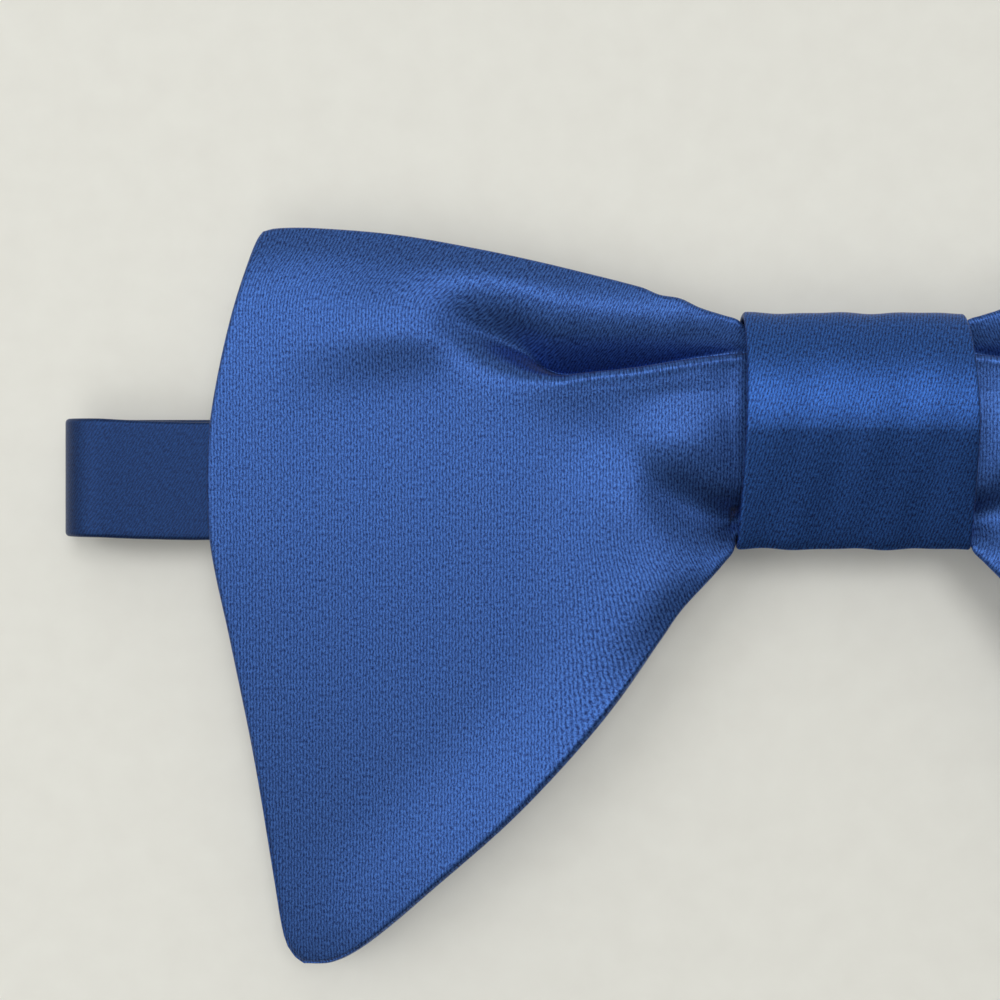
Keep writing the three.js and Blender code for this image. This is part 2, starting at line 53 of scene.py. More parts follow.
class Table:
    """A short table with named columns, read smoothly along its first column."""

    def __init__(self, columns: str, *rows: tuple[float, ...]) -> None:
        """Keeps each column as an array.

        Args:
            columns: The columns' names, with spaces between them.
            rows: The rows, in rising order of the first column.
        """
        names = columns.split()
        self.key = names[0]
        self.values = {name: np.array([row[i] for row in rows], float) for i, name in enumerate(names)}

    def read(self, name: str, at: np.ndarray | float) -> np.ndarray:
        """Joins the rows by cubic pieces, whose slope at a row is the slope between its neighbours.

        Args:
            name: The column to read.
            at: Values of the first column, held inside the table's ends.

        Returns:
            The column's value at each of them.
        """
        keys = self.values[self.key]
        column = self.values[name]
        row = np.arange(len(keys))
        before = np.maximum(row - 1, 0)
        after = np.minimum(row + 1, len(keys) - 1)
        slopes = (column[after] - column[before]) / (keys[after] - keys[before])
        held = np.clip(at, keys[0], keys[-1])
        i = np.clip(np.searchsorted(keys, held, side="right") - 1, 0, len(keys) - 2)
        step = keys[i + 1] - keys[i]
        t = (held - keys[i]) / step
        start = (2 * t**3 - 3 * t**2 + 1) * column[i] + (t**3 - 2 * t**2 + t) * step * slopes[i]
        end = (3 * t**2 - 2 * t**3) * column[i + 1] + (t**3 - t**2) * step * slopes[i + 1]
        return start + end

    def last(self, name: str) -> float:
        """The column's value in the last row."""
        return float(self.values[name][-1])

    def departure(self, name: str, at: np.ndarray) -> np.ndarray:
        """How far a column departs from the straight line between its first and last values.

        Args:
            name: The column to read.
            at: Values of the first column, which runs from 0 to 1.

        Returns:
            The column's value less the line's at each of them.
        """
        first = float(self.values[name][0])
        return self.read(name, at) - (1 - at) * first - at * self.last(name)


# The wing's outline and the height of its middle layer: u runs from the middle of the bow to the
# outer edge, and v from the lower edge to the top edge.

WING_END = 0.4
TOP_EDGE = Table(
    "u out y z",
    (0.0, WING_END, 15.5, 13.1),
    (0.12, 12.6, 15.7, 13.0),
    (0.166, 17.45, 16.3, 12.9),
    (0.169, 17.75, 17.2, 12.9),
    (0.176, 18.5, 17.7, 12.9),
    (0.19, 19.9, 18.1, 12.9),
    (0.23, 23.9, 19.4, 13.1),
    (0.26, 27.1, 20.9, 13.3),
    (0.29, 30.2, 21.5, 13.4),
    (0.33, 33.3, 22.8, 13.5),
    (0.46, 45.9, 26.1, 13.4),
    (0.59, 58.6, 28.9, 13.1),
    (0.72, 71.3, 31.2, 12.6),
    (0.86, 84.0, 32.3, 12.0),
    (0.95, 90.6, 32.3, 11.6),
    (1.0, 93.0, 31.7, 11.4),
)
LOWER_EDGE = Table(
    "u out y z",
    (0.0, WING_END, -15.3, 12.2),
    (0.12, 13.0, -15.3, 12.2),
    (0.169, 18.0, -16.4, 12.3),
    (0.176, 18.7, -18.7, 12.5),
    (0.19, 20.1, -20.4, 13.0),
    (0.21, 22.4, -22.9, 13.4),
    (0.245, 26.9, -27.6, 13.7),
    (0.29, 30.5, -32.6, 14.0),
    (0.375, 37.2, -41.8, 14.1),
    (0.47, 45.0, -51.0, 14.1),
    (0.58, 54.0, -60.5, 13.6),
    (0.7, 64.6, -70.1, 12.5),
    (0.84, 75.6, -79.9, 10.6),
    (0.93, 81.5, -83.8, 8.8),
    (1.0, 86.5, -84.6, 7.4),
)
OUTER_EDGE = Table(
    "v out y z",
    (0.0, 86.5, -84.6, 7.4),
    (0.02, 88.6, -83.0, 7.4),
    (0.045, 89.9, -80.0, 7.6),
    (0.12, 91.3, -71.5, 8.5),
    (0.28, 94.3, -52.1, 9.8),
    (0.44, 98.0, -33.0, 10.7),
    (0.56, 100.9, -18.7, 11.2),
    (0.64, 101.5, -9.2, 11.4),
    (0.72, 101.1, 0.3, 11.6),
    (0.785, 99.9, 8.1, 11.7),
    (0.87, 97.8, 17.6, 11.6),
    (0.945, 95.3, 26.1, 11.5),
    (0.985, 93.9, 30.3, 11.4),
    (1.0, 93.0, 31.7, 11.4),
)
GATHERED_END = Table(
    "v out y z",
    (0.0, WING_END, -15.3, 12.2),
    (0.25, WING_END, -8.0, 13.3),
    (0.5, WING_END, 0.0, 13.9),
    (0.75, WING_END, 8.0, 13.8),
    (1.0, WING_END, 15.5, 13.1),
)
TOP_ROLL = Table(
    "u drop",
    (0.0, 0.0),
    (0.186, 0.4),
    (0.25, 1.2),
    (0.35, 2.4),
    (0.5, 3.2),
    (0.65, 3.1),
    (0.8, 2.6),
    (1.0, 2.4),
)
LOWER_ROLL = Table(
    "u rise",
    (0.0, 0.0),
    (0.25, 0.0),
    (0.33, 0.8),
    (0.42, 1.9),
    (0.6, 2.2),
    (0.75, 2.1),
    (0.9, 1.6),
    (1.0, 0.9),
)

# The pleat: below its crease the cloth stands up in a ridge, with an upright wall to a valley above.
PLEAT = Table(
    "out y ridge valley ridge_spread valley_spread lean crease",
    (0.0, 12.0, 0.0, 1.0, 5.0, 4.0, 0.06, 0.3),
    (16.0, 11.9, 0.4, 1.8, 6.0, 4.5, 0.17, 0.3),
    (24.0, 11.1, 0.8, 3.3, 6.0, 5.0, 0.17, 0.3),
    (34.0, 9.6, 1.4, 5.4, 7.0, 6.2, 0.17, 0.3),
    (42.0, 8.8, 1.3, 6.0, 7.0, 6.9, 0.17, 0.3),
    (46.0, 8.5, 1.3, 6.1, 7.0, 7.4, 0.17, 0.5),
    (49.0, 9.2, 1.1, 6.1, 7.0, 7.9, 0.12, 0.9),
    (52.0, 10.4, 0.8, 5.8, 7.0, 8.2, 0.03, 1.9),
    (57.0, 12.5, 0.5, 4.8, 7.0, 8.0, 0.0, 3.1),
    (62.0, 14.4, 0.3, 2.8, 7.0, 8.0, 0.0, 3.8),
    (67.0, 16.2, 0.1, 1.1, 7.0, 7.0, 0.0, 4.0),
    (74.0, 17.2, 0.0, 0.1, 7.0, 6.0, 0.0, 4.0),
    (84.0, 17.5, 0.0, 0.0, 7.0, 6.0, 0.0, 4.0),
)

# Long rounded swellings, up or down, with their height and width at each distance out.
DENT = Table(
    "out y height spread_below spread_above",
    (0.0, -12.0, -0.6, 3.0, 3.0),
    (12.0, -12.8, -2.2, 3.0, 3.0),
    (17.5, -13.2, -3.0, 2.7, 3.2),
    (19.2, -13.5, -3.5, 3.4, 3.5),
    (21.0, -13.4, -3.4, 4.4, 4.0),
    (24.0, -12.5, -3.0, 6.0, 4.6),
    (27.5, -10.8, -2.6, 6.5, 5.1),
    (31.0, -8.6, -2.0, 6.5, 5.2),
    (35.0, -5.8, -1.0, 6.5, 5.0),
    (40.0, -2.5, -0.3, 6.0, 5.0),
    (45.0, 0.0, 0.0, 6.0, 5.0),
)
LOWER_RIDGE = Table(
    "out y height spread_below spread_above",
    (0.0, -16.5, 0.0, 3.0, 3.0),
    (18.0, -18.0, 0.1, 3.0, 3.0),
    (23.0, -21.5, 0.5, 4.0, 4.0),
    (29.0, -25.0, 0.8, 6.0, 6.0),
    (38.0, -29.0, 0.5, 9.0, 9.0),
    (50.0, -34.0, 0.0, 12.0, 12.0),
)
UPPER_FOLD = Table(
    "out y height spread_below spread_above",
    (42.0, 20.0, 0.0, 5.0, 6.0),
    (48.0, 20.6, 0.5, 5.0, 6.0),
    (54.0, 21.6, 1.0, 5.0, 6.0),
    (60.0, 22.6, 1.0, 5.0, 6.0),
    (67.0, 23.4, 0.4, 5.0, 6.0),
    (74.0, 24.0, 0.0, 5.0, 6.0),
)
PILLOW = Table(
    "out y height spread_below spread_above",
    (52.0, 16.0, 0.0, 5.0, 5.0),
    (61.0, 16.0, 0.4, 5.0, 6.0),
    (68.0, 15.8, 1.3, 5.2, 7.0),
    (76.0, 15.2, 1.4, 5.6, 8.0),
    (84.0, 14.5, 0.7, 6.0, 8.0),
    (92.0, 14.0, 0.0, 7.0, 8.0),
)

# A soft ridge that starts under the pleat at the wrap and sweeps down along the lower edge.
SWEEP = Table(
    "y out height spread",
    (-64.0, 52.0, 0.0, 9.0),
    (-52.0, 44.0, 0.2, 9.0),
    (-40.0, 40.0, 0.5, 9.0),
    (-26.0, 38.0, 0.8, 9.0),
    (-10.0, 35.0, 1.3, 8.0),
    (-4.0, 31.0, 1.2, 8.0),
    (2.0, 26.0, 0.6, 8.0),
    (6.0, 22.0, 0.0, 8.0),
)

# The face between the wing's edges sags a little.
FACE_SWELL = Table(
    "u height",
    (0.0, 0.0),
    (0.16, 0.0),
    (0.3, -0.8),
    (0.45, -1.9),
    (0.75, -2.0),
    (0.9, -1.0),
    (1.0, 0.0),
)

# The neck band's upper stretch, from behind the wrap out to its fold.
BAND_UPPER = Table(
    "out y z",
    (0.0, -0.2, 8.95),
    (18.3, -0.7, 8.95),
    (22.0, -0.8, 8.4),
    (26.0, -1.3, 7.95),
    (33.0, -2.7, 7.8),
    (45.0, -4.1, 8.1),
    (60.0, -5.3, 8.4),
    (100.0, -7.7, 8.6),
    (112.0, -7.6, 9.4),
    (118.7, -7.3, 10.2),
)


class Side(Enum):
    """Which side of the bow a wing is on, seen from above, as the sign of x."""

    LEFT = -1
    RIGHT = 1


def bell(x: np.ndarray) -> np.ndarray:
    """A smooth hump, one at zero: exp of minus x squared."""
    return np.exp(-(x**2))


def ease(x: np.ndarray | float) -> np.ndarray:
    """Rises from 0 to 1 with level ends as x goes from 0 to 1: 3 x squared less 2 x cubed."""
    held = np.clip(x, 0.0, 1.0)
    return held * held * (3 - 2 * held)


def unit(vectors: np.ndarray) -> np.ndarray:
    """Each vector divided by its length."""
    length = np.linalg.norm(vectors, axis=-1, keepdims=True)
    return vectors / np.maximum(length, 1e-12)


def way_along(line: np.ndarray) -> np.ndarray:
    """The length of the way from a line's first point to each of its points."""
    return np.concatenate([[0], np.cumsum(np.linalg.norm(np.diff(line, axis=0), axis=1))])


def linear(hex_colour: str) -> tuple[float, float, float, float]:
    """Turns an sRGB hex colour into Blender's linear one.

    Args:
        hex_colour: Six hex digits.

    Returns:
        Linear red, green and blue, and an alpha of one.
    """
    parts = [int(hex_colour[i : i + 2], 16) / 255 for i in (0, 2, 4)]
    red, green, blue = (p / 12.92 if p <= 0.04045 else ((p + 0.055) / 1.055) ** 2.4 for p in parts)
    return red, green, blue, 1.0


def node(
    tree: bpy.types.NodeTree, kind: str, settings: dict | None = None, **links: object
) -> bpy.types.Node:
    """Adds a node with its settings and links.

    Args:
        tree: The node tree.
        kind: The node's type, without its ShaderNode prefix.
        settings: Properties by name, and inputs by their name or number.
        links: Sockets to link, by the input's name with _ for a space, or by in0, in1 and so on.

    Returns:
        The new node.
    """
    made = tree.nodes.new("ShaderNode" + kind)
    for name, value in (settings or {}).items():
        if isinstance(name, int) or name in made.inputs:
            made.inputs[name].default_value = value
        else:
            setattr(made, name, value)
    for name, socket in links.items():
        numbered = name.startswith("in") and name[2:].isdigit()
        key = int(name[2:]) if numbered else name.replace("_", " ")
        tree.links.new(socket, made.inputs[key])
    return made


def empty_material(name: str) -> tuple[bpy.types.Material, bpy.types.NodeTree]:
    """Makes a material whose nodes are still to be added.

    Args:
        name: The material's name.

    Returns:
        The new material and its empty node tree.
    """
    made = bpy.data.materials.new(name)
    made.use_nodes = True
    made.node_tree.nodes.clear()
    return made, made.node_tree


@dataclass(frozen=True)
class Satin:
    """Warp-faced polyester satin: smooth floats that give a soft, one-way lustre over fine ribs.

    The ribs read the piece's own weave map, in millimetres across and along the threads.
    """

    name: str
    deep: str
    lit: str
    rib_mm: float = 0.5
    float_mm: float = 0.55
    rib_wander: float = 3.0
    rib_share: float = 0.11
    tone_low: float = 0.38
    tone_high: float = 0.62
    roughness: float = 0.42
    metallic: float = 0.82
    anisotropic: float = 0.6
    relief_mm: float = 0.05

    def material(self) -> bpy.types.Material:
        """Builds the cloth.

        The thread pattern is the noise of the floats times one plus a share of the ribs' sine. It
        turns into a tone between the two colours, and raises the surface.

        Returns:
            The new material.
        """
        made, tree = empty_material(self.name)
        weave = node(tree, "UVMap", {"uv_map": "weave"}).outputs["UV"]
        across = node(tree, "SeparateXYZ", Vector=weave).outputs["X"]
        turns = node(tree, "Math", {"operation": "MULTIPLY", 1: math.tau / self.rib_mm}, in0=across)
        slow = {"noise_dimensions": "2D", "Scale": 0.5, "Detail": 2.0}
        wander = node(tree, "TexNoise", slow, Vector=weave).outputs["Fac"]
        add = {"operation": "MULTIPLY_ADD", 1: self.rib_wander}
        shifted = node(tree, "Math", add, in0=wander, in2=turns.outputs[0])
        rib = node(tree, "Math", {"operation": "SINE"}, in0=shifted.outputs[0]).outputs[0]
        stretch = {"Scale": (2.0 / self.rib_mm, 1.0 / self.float_mm, 1.0)}
        along = node(tree, "Mapping", stretch, Vector=weave).outputs["Vector"]
        fine = {"noise_dimensions": "2D", "Scale": 1.0, "Detail": 4.0, "Roughness": 0.9}
        floats = node(tree, "TexNoise", fine, Vector=along).outputs["Fac"]
        add = {"operation": "MULTIPLY_ADD", 1: self.rib_share, 2: 1.0}
        ribbed = node(tree, "Math", add, in0=rib).outputs[0]
        height = node(tree, "Math", {"operation": "MULTIPLY"}, in0=ribbed, in1=floats).outputs[0]
        tones = {"From Min": self.tone_low, "From Max": self.tone_high}
        tone = node(tree, "MapRange", tones, Value=height).outputs["Result"]
        mixed = {"data_type": "RGBA", 6: linear(self.deep), 7: linear(self.lit)}
        colour = node(tree, "Mix", mixed, in0=tone).outputs[2]
        raised = {"Strength": 0.7, "Distance": self.relief_mm * MM}
        bump = node(tree, "Bump", raised, Height=height).outputs["Normal"]
        thread = node(tree, "Tangent", {"direction_type": "UV_MAP", "uv_map": "weave"}).outputs["Tangent"]
        gloss = {
            "Metallic": self.metallic,
            "Roughness": self.roughness,
            "Anisotropic": self.anisotropic,
            "Coat Weight": 0.1,
            "Coat Roughness": 0.5,
            "Sheen Weight": 0.05,
            "Sheen Roughness": 0.5,
        }
        shader = node(tree, "BsdfPrincipled", gloss, Base_Color=colour, Normal=bump, Tangent=thread)
        node(tree, "OutputMaterial", Surface=shader.outputs["BSDF"])
        return made


@dataclass(frozen=True)
class PlatedSteel:
    """Nickel-plated steel wire, brushed along its length, which gives the eye a soft grey gleam."""

    name: str = "nickel_plated_steel"
    colour: str = "b9bbbf"
    grain_mm: float = 0.15
    grain_stretch: float = 50.0
    smoothest: float = 0.24
    roughest: float = 0.42
    relief_mm: float = 0.01

    def material(self) -> bpy.types.Material:
        """Builds the metal with a fine brushed grain in its roughness and relief.

        Returns:
            The new material.
        """
        made, tree = empty_material(self.name)
        place = node(tree, "TexCoord").outputs["Object"]
        fine = 1.0 / (self.grain_mm * MM)
        stretched = {"Scale": (fine / self.grain_stretch, fine / self.grain_stretch, fine)}
        brushed = node(tree, "Mapping", stretched, Vector=place).outputs["Vector"]
        grain = node(tree, "TexNoise", {"Scale": 1.0, "Detail": 2.0}, Vector=brushed).outputs["Fac"]
        limits = {"To Min": self.smoothest, "To Max": self.roughest}
        rough = node(tree, "MapRange", limits, Value=grain).outputs["Result"]
        raised = {"Strength": 0.2, "Distance": self.relief_mm * MM}
        bump = node(tree, "Bump", raised, Height=grain).outputs["Normal"]
        metal = {"Base Color": linear(self.colour), "Metallic": 1.0}
        shader = node(tree, "BsdfPrincipled", metal, Roughness=rough, Normal=bump)
        node(tree, "OutputMaterial", Surface=shader.outputs["BSDF"])
        return made


@dataclass(frozen=True)
class PaleBoard:
    """Matt off-white board, with a faint mottle that keeps it from looking empty."""

    name: str = "pale_board"
    light: str = "ebebe4"
    dark: str = "e4e3dc"

    def material(self) -> bpy.types.Material:
        """Builds the board from two close tones of fine noise.

        Returns:
            The new material.
        """
        made, tree = empty_material(self.name)
        place = node(tree, "TexCoord").outputs["Object"]
        mottle = node(tree, "TexNoise", {"Scale": 180.0, "Detail": 3.0}, Vector=place).outputs["Fac"]
        mixed = {"data_type": "RGBA", 6: linear(self.dark), 7: linear(self.light)}
        colour = node(tree, "Mix", mixed, in0=mottle).outputs[2]
        shader = node(tree, "BsdfPrincipled", {"Roughness": 0.85}, Base_Color=colour)
        node(tree, "OutputMaterial", Surface=shader.outputs["BSDF"])
        return made


# The wings' satin gives the eye a lively blue. The wrap's is pulled tight, so it is smoother and
# its highlight is clearer; its darker colours are painted shade for the knot's shaded lower half.
# The band's darker, duller blue is painted shade for the shade it lies in under the wings.
WING_SATIN = Satin("royal_blue_satin_wing", deep="0b2155", lit="426fbd")
# Painted shade: the wrap's colours are darker than the wings' to paint the knot's shade.
WRAP_SATIN_PAINTED_SHADE = Satin("royal_blue_satin_wrap_painted_shade", deep="071a49", lit="3167bb", roughness=0.36)
# Painted shade: the band's colours are darkened to paint the wings' shade over it.
BAND_SATIN_PAINTED_SHADE = Satin("royal_blue_satin_band_painted_shade", deep="091f49", lit="1a3f75")
CLASP_METAL = PlatedSteel()


def mesh_object(
    name: str, points: np.ndarray, quads: np.ndarray, weave: np.ndarray
) -> bpy.types.Object:
    """Puts a closed mesh of four-sided faces into the scene, smooth, with its weave map.

    Args:
        name: The piece's name.
        points: Its points in millimetres, one row each.
        quads: Four point numbers for each face, in order.
        weave: Each face corner's place in the cloth, in millimetres, one row for each corner.

    Returns:
        The new object, at the origin.
    """
    used, renumbered = np.unique(quads, return_inverse=True)
    renumbered = renumbered.reshape(quads.shape)
    mesh = bpy.data.meshes.new(name)
    mesh.vertices.add(len(used))
    mesh.vertices.foreach_set("co", (points[used] * MM).astype(np.float32).ravel())
    mesh.loops.add(quads.size)
    mesh.loops.foreach_set("vertex_index", renumbered.astype(np.int32).ravel())
    mesh.polygons.add(len(quads))
    mesh.polygons.foreach_set("loop_start", np.arange(0, quads.size, 4, dtype=np.int32))
    mesh.update(calc_edges=True)
    uv = mesh.uv_layers.new(name="weave")
    uv.uv.foreach_set("vector", weave.astype(np.float32).ravel())
    mesh.polygons.foreach_set("use_smooth", np.ones(len(quads), bool))
    mesh.validate()
    piece = bpy.data.objects.new(name, mesh)
    bpy.context.scene.collection.objects.link(piece)
    return piece


def quads_of(ids: np.ndarray, flip: bool) -> np.ndarray:
    """The faces between neighbouring rows and columns of a grid of point numbers.

    Args:
        ids: The grid, a row for each step of its first parameter.
        flip: Whether the faces turn the other way.

    Returns:
        Four numbers for each face.
    """
    corners = [ids[:-1, :-1], ids[1:, :-1], ids[1:, 1:], ids[:-1, 1:]]
    if flip:
        corners.reverse()
    return np.stack([c.ravel() for c in corners], axis=1)


def ring_object(name: str, points: np.ndarray, weave: np.ndarray, flip: bool) -> bpy.types.Object:
    """Joins a grid of points both ways round, as a section carried round a loop, into a piece.

    Args:
        name: The piece's name.
        points: The grid of points in millimetres, a row for each place on the loop.
        weave: Their places in the cloth, with one more row and column, where the grid meets itself.
        flip: Whether the faces turn the other way.

    Returns:
        The new object.
    """
    ids = np.arange(points[..., 0].size).reshape(points.shape[:2])
    ids = np.concatenate([ids, ids[:1]])
    ids = np.concatenate([ids, ids[:, :1]], axis=1)
    corners = quads_of(np.arange(weave[..., 0].size).reshape(weave.shape[:2]), flip)
    places = weave.reshape(-1, 2)[corners.ravel()]
    return mesh_object(name, points.reshape(-1, 3), quads_of(ids, flip), places)


def rounded_rectangle(
    half_width: float, half_height: float, radius: float, steps: int
) -> tuple[np.ndarray, np.ndarray]:
    """A rectangle whose corners are quarter circles, each with the same number of points.

    Args:
        half_width: Half its width.
        half_height: Half its height.
        radius: The corners' radius.
        steps: The number of points at each corner.

    Returns:
        The points, anticlockwise, and the outward way at each of them.
    """
    turn = np.linspace(0, math.pi / 2, steps)
    angle = (turn + np.arange(4)[:, None] * math.pi / 2).ravel()
    outward = np.stack([np.cos(angle), np.sin(angle)], axis=-1)
    corner = np.repeat([[1, 1], [-1, 1], [-1, -1], [1, -1]], steps, axis=0)
    return corner * [half_width - radius, half_height - radius] + radius * outward, outward


def seat(
    piece: bpy.types.Object, finish: bpy.types.Material, node_name: str
) -> bpy.types.Object:
    """Gives a piece its finish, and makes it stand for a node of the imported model.

    Args:
        piece: The new piece.
        finish: Its material.
        node_name: The node it replaces.

    Returns:
        The same piece.
    """
    piece.data.materials.append(finish)
    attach(piece, "root")
    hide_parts(node_name)
    LOG.info("%s: %d faces", piece.name, len(piece.data.polygons))
    return piece


@dataclass
class Wing:
    """One drooping blade: two satin panels sewn together, turned, pleated and gathered at the wrap."""

    node_name: str
    side: Side
    folds: float
    thickness: float = 2.4
    edge_thickness: float = 1.7
    edge_swell: float = 4.0
    mouth: float = 0.1705
    length: float = 100.0
    top_roll_width: float = 13.0
    lower_roll_width: float = 20.0
    ridge_shift: float = 0.4
    swell_power: float = 0.6
    thinned_width: float = 1.6
    thinned_share: float = 4.0
    squeeze: float = 0.35
    squeeze_out: float = 19.0
    squeeze_reach: float = 5.0
    seam_inset: float = 0.55
    seam_depth: float = 0.25
    seam_width: float = 0.14
    seam_below: float = -42.0
    seam_below_fade: float = 18.0
    seam_past: float = 73.0
    seam_past_fade: float = 7.0
    lean_least: float = 0.25
    lean_gain: float = 0.27
    lean_out: float = 110.0
    lean_out_fade: float = 60.0
    lean_fade: float = 1.0
    lean_fade_growth: float = 0.12
    pull: float = 0.4
    pull_below: float = -14.0
    pull_below_fade: float = 10.0
    pull_out: float = 50.0
    pull_out_fade: float = 32.0
    padding: float = 0.25
    lines_gathered: int = 10
    lines_out: int = 118
    lines_below: int = 96
    lines_above: int = 58
    even_out: float = 0.25
    even_up: float = 0.3
    crowding: float = 1.8
    samples_up: int = 400
    edge_lines: tuple[float, ...] = (
        0.0, 0.04, 0.1, 0.18, 0.28, 0.38, 0.47, 0.55, 0.63, 0.72, 0.85, 1.05, 1.35, 1.8,
    )

    def outline(self, u: np.ndarray, v: np.ndarray) -> np.ndarray:
        """Fills in the flat outline from its four edges.

        Each of out, y and z goes evenly from the lower edge to the top edge. It gains the two
        ends' departures from straight lines, which fade with the share of the way to the other
        end: evenly for out and y, by its square and cube for z. The strip along the top edge
        rolls down, and the one along the lower edge curls up, by a height that grows with the
        square of the way into the strip.

        Args:
            u: Shares of the way out.
            v: Shares of the way up, of the same shape.

        Returns:
            Points with out, y and z in the last axis.
        """
        columns = []
        for name in ("out", "y", "z"):
            near, far = (1 - u, u) if name != "z" else ((1 - u) ** 2, u**3)
            across = (1 - v) * LOWER_EDGE.read(name, u) + v * TOP_EDGE.read(name, u)
            inner = GATHERED_END.departure(name, v)
            outer = OUTER_EDGE.departure(name, v)
            columns.append(across + near * inner + far * outer)
        height = TOP_EDGE.read("y", u) - LOWER_EDGE.read("y", u)
        drop = TOP_ROLL.read("drop", u) * np.maximum(1 - (1 - v) * height / self.top_roll_width, 0) ** 2
        rise = LOWER_ROLL.read("rise", u) * np.maximum(1 - v * height / self.lower_roll_width, 0) ** 2
        columns[2] = columns[2] - drop + rise
        return np.stack(columns, axis=-1)

    def off_crease(self, flat: np.ndarray) -> np.ndarray:
        """How far each point of the outline lies above the middle of the pleat's crease."""
        return flat[..., 1] - PLEAT.read("y", flat[..., 0])

    def folded(self, u: np.ndarray, flat: np.ndarray) -> np.ndarray:
        """Lifts the outline into the folded middle layer.

        The height gains a broad swelling, a ridge below the crease and a valley above it, each a
        bell that a smooth step cuts at the crease, and the other folds' bells. Close to the
        crease, y is pushed up below it and down above it, so that its wall stands upright, and the
        layer rises by half of what the padding loses there, which keeps the front level.

        Args:
            u: Shares of the way out.
            flat: The outline's points.

        Returns:
            The middle layer's points.
        """
        out, y, z = flat[..., 0], flat[..., 1], flat[..., 2]
        off = self.off_crease(flat)
        turn = off / PLEAT.read("crease", out)
        above = 0.5 * (1 + np.tanh(turn))
        from_top = off / PLEAT.read("ridge_spread", out) - self.ridge_shift
        ridge = PLEAT.read("ridge", out) * bell(from_top) * (1 - above)
        valley = PLEAT.read("valley", out) * bell(off / PLEAT.read("valley_spread", out)) * above
        lean = PLEAT.read("lean", out)
        lift = ridge - valley + self.thickness / 2 * self.thinning(off, lean) * (1 - above)
        for fold in (DENT, LOWER_RIDGE, UPPER_FOLD, PILLOW):
            beside = y - fold.read("y", out)
            spread = np.where(beside > 0, fold.read("spread_above", out), fold.read("spread_below", out))
            lift = lift + fold.read("height", out) * bell(beside / spread)
        lift = lift + SWEEP.read("height", y) * bell((out - SWEEP.read("out", y)) / SWEEP.read("spread", y))
        low, top = LOWER_EDGE.read("y", u), TOP_EDGE.read("y", u)
        share = np.clip((y - low) / (top - low), 0, 1)
        swell = FACE_SWELL.read("height", u) * (4 * share * (1 - share)) ** self.swell_power
        push = lean * turn * np.exp(0.5 - 0.5 * turn**2)
        return np.stack([out, y - self.folds * push, z + swell + self.folds * lift], axis=-1)

    def lines(self) -> tuple[np.ndarray, np.ndarray]:
        """Chooses the grid's lines: close at the edges, at the mouth of the wrap and at the crease.

        Between the places where they crowd, lines go by a share of even steps plus a share of
        steps that grow with a power of the way.

        Returns:
            The shares u and v at each grid point.
        """
        edge = np.array(self.edge_lines)
        gathered = np.linspace(0, self.mouth, self.lines_gathered, endpoint=False)
        share = np.linspace(0, 1, self.lines_out, endpoint=False)
        last = 1 - edge[-1] / self.length
        crowded = self.even_out * share + (1 - self.even_out) * share**2
        free = self.mouth + (last - self.mouth) * crowded
        u = np.concatenate([gathered, free, 1 - edge[::-1] / self.length])
        dense = np.linspace(0, 1, self.samples_up)
        below = np.linspace(0, 1, self.lines_below + 1)[1:]
        below = self.even_up * below + (1 - self.even_up) * (1 - (1 - below) ** self.crowding)
        above = np.linspace(0, 1, self.lines_above, endpoint=False)[1:]
        above = self.even_up * above + (1 - self.even_up) * above**self.crowding
        rows = []
        for at in u:
            flat = self.outline(np.full_like(dense, at), dense)
            crease = float(np.interp(0.0, self.off_crease(flat), dense))
            margin = edge / (flat[-1, 1] - flat[0, 1])
            lower = margin[-1] + (crease - margin[-1]) * below
            upper = crease + (1 - margin[-1] - crease) * above
            rows.append(np.concatenate([margin, lower, upper, 1 - margin[::-1]]))
        v = np.array(rows)
        return np.repeat(u[:, None], v.shape[1], axis=1), v

    def edge_distance(self, flat: np.ndarray) -> np.ndarray:
        """The shortest way from each point of the outline to its free edge, seen from above.

        Args:
            flat: The outline's points, the free edge being its outer three sides.

        Returns:
            The distance in millimetres for each point.
        """
        line = np.concatenate([flat[:, 0, :2], flat[-1, 1:, :2], flat[-2::-1, -1, :2]])
        start, step = line[:-1], np.diff(line, axis=0)
        square = np.maximum((step**2).sum(1), 1e-9)
        nearest = []
        for row in flat[..., :2]:
            way = row[:, None] - start[None]
            share = np.clip((way * step).sum(-1) / square, 0, 1)
            nearest.append(np.sqrt(((way - share[..., None] * step) ** 2).sum(-1).min(1)))
        return np.array(nearest)

    def thinning(self, off: np.ndarray, lean: np.ndarray) -> np.ndarray:
        """The share of its thickness that the padding loses at the sharp crease: a bell across it."""
        return self.thinned_share * lean * bell(off / self.thinned_width)

    def half_thickness(self, flat: np.ndarray, distance: np.ndarray) -> np.ndarray:
        """How far each face stands from the middle layer.

        A pressed edge is half round, and the padding swells inwards from it over some millimetres.
        The cloth thins at the crease, where it is bent sharply, and where the wrap squeezes it.

        Args:
            flat: The outline's points.
            distance: Each point's distance from the free edge.

        Returns:
            Half the thickness at each point.
        """
        edge = self.edge_thickness / 2
        rounded = np.sqrt(1 - (1 - np.minimum(distance / edge, 1)) ** 2)
        swollen = (self.thickness / 2 - edge) * (1 - bell(distance / self.edge_swell))
        lean = self.folds * PLEAT.read("lean", flat[..., 0])
        thinned = 1 - self.thinning(self.off_crease(flat), lean)
        past = np.maximum(flat[..., 0] - self.squeeze_out, 0)
        squeezed = 1 - self.squeeze * bell(past / self.squeeze_reach)
        return (edge * rounded + swollen) * thinned * squeezed

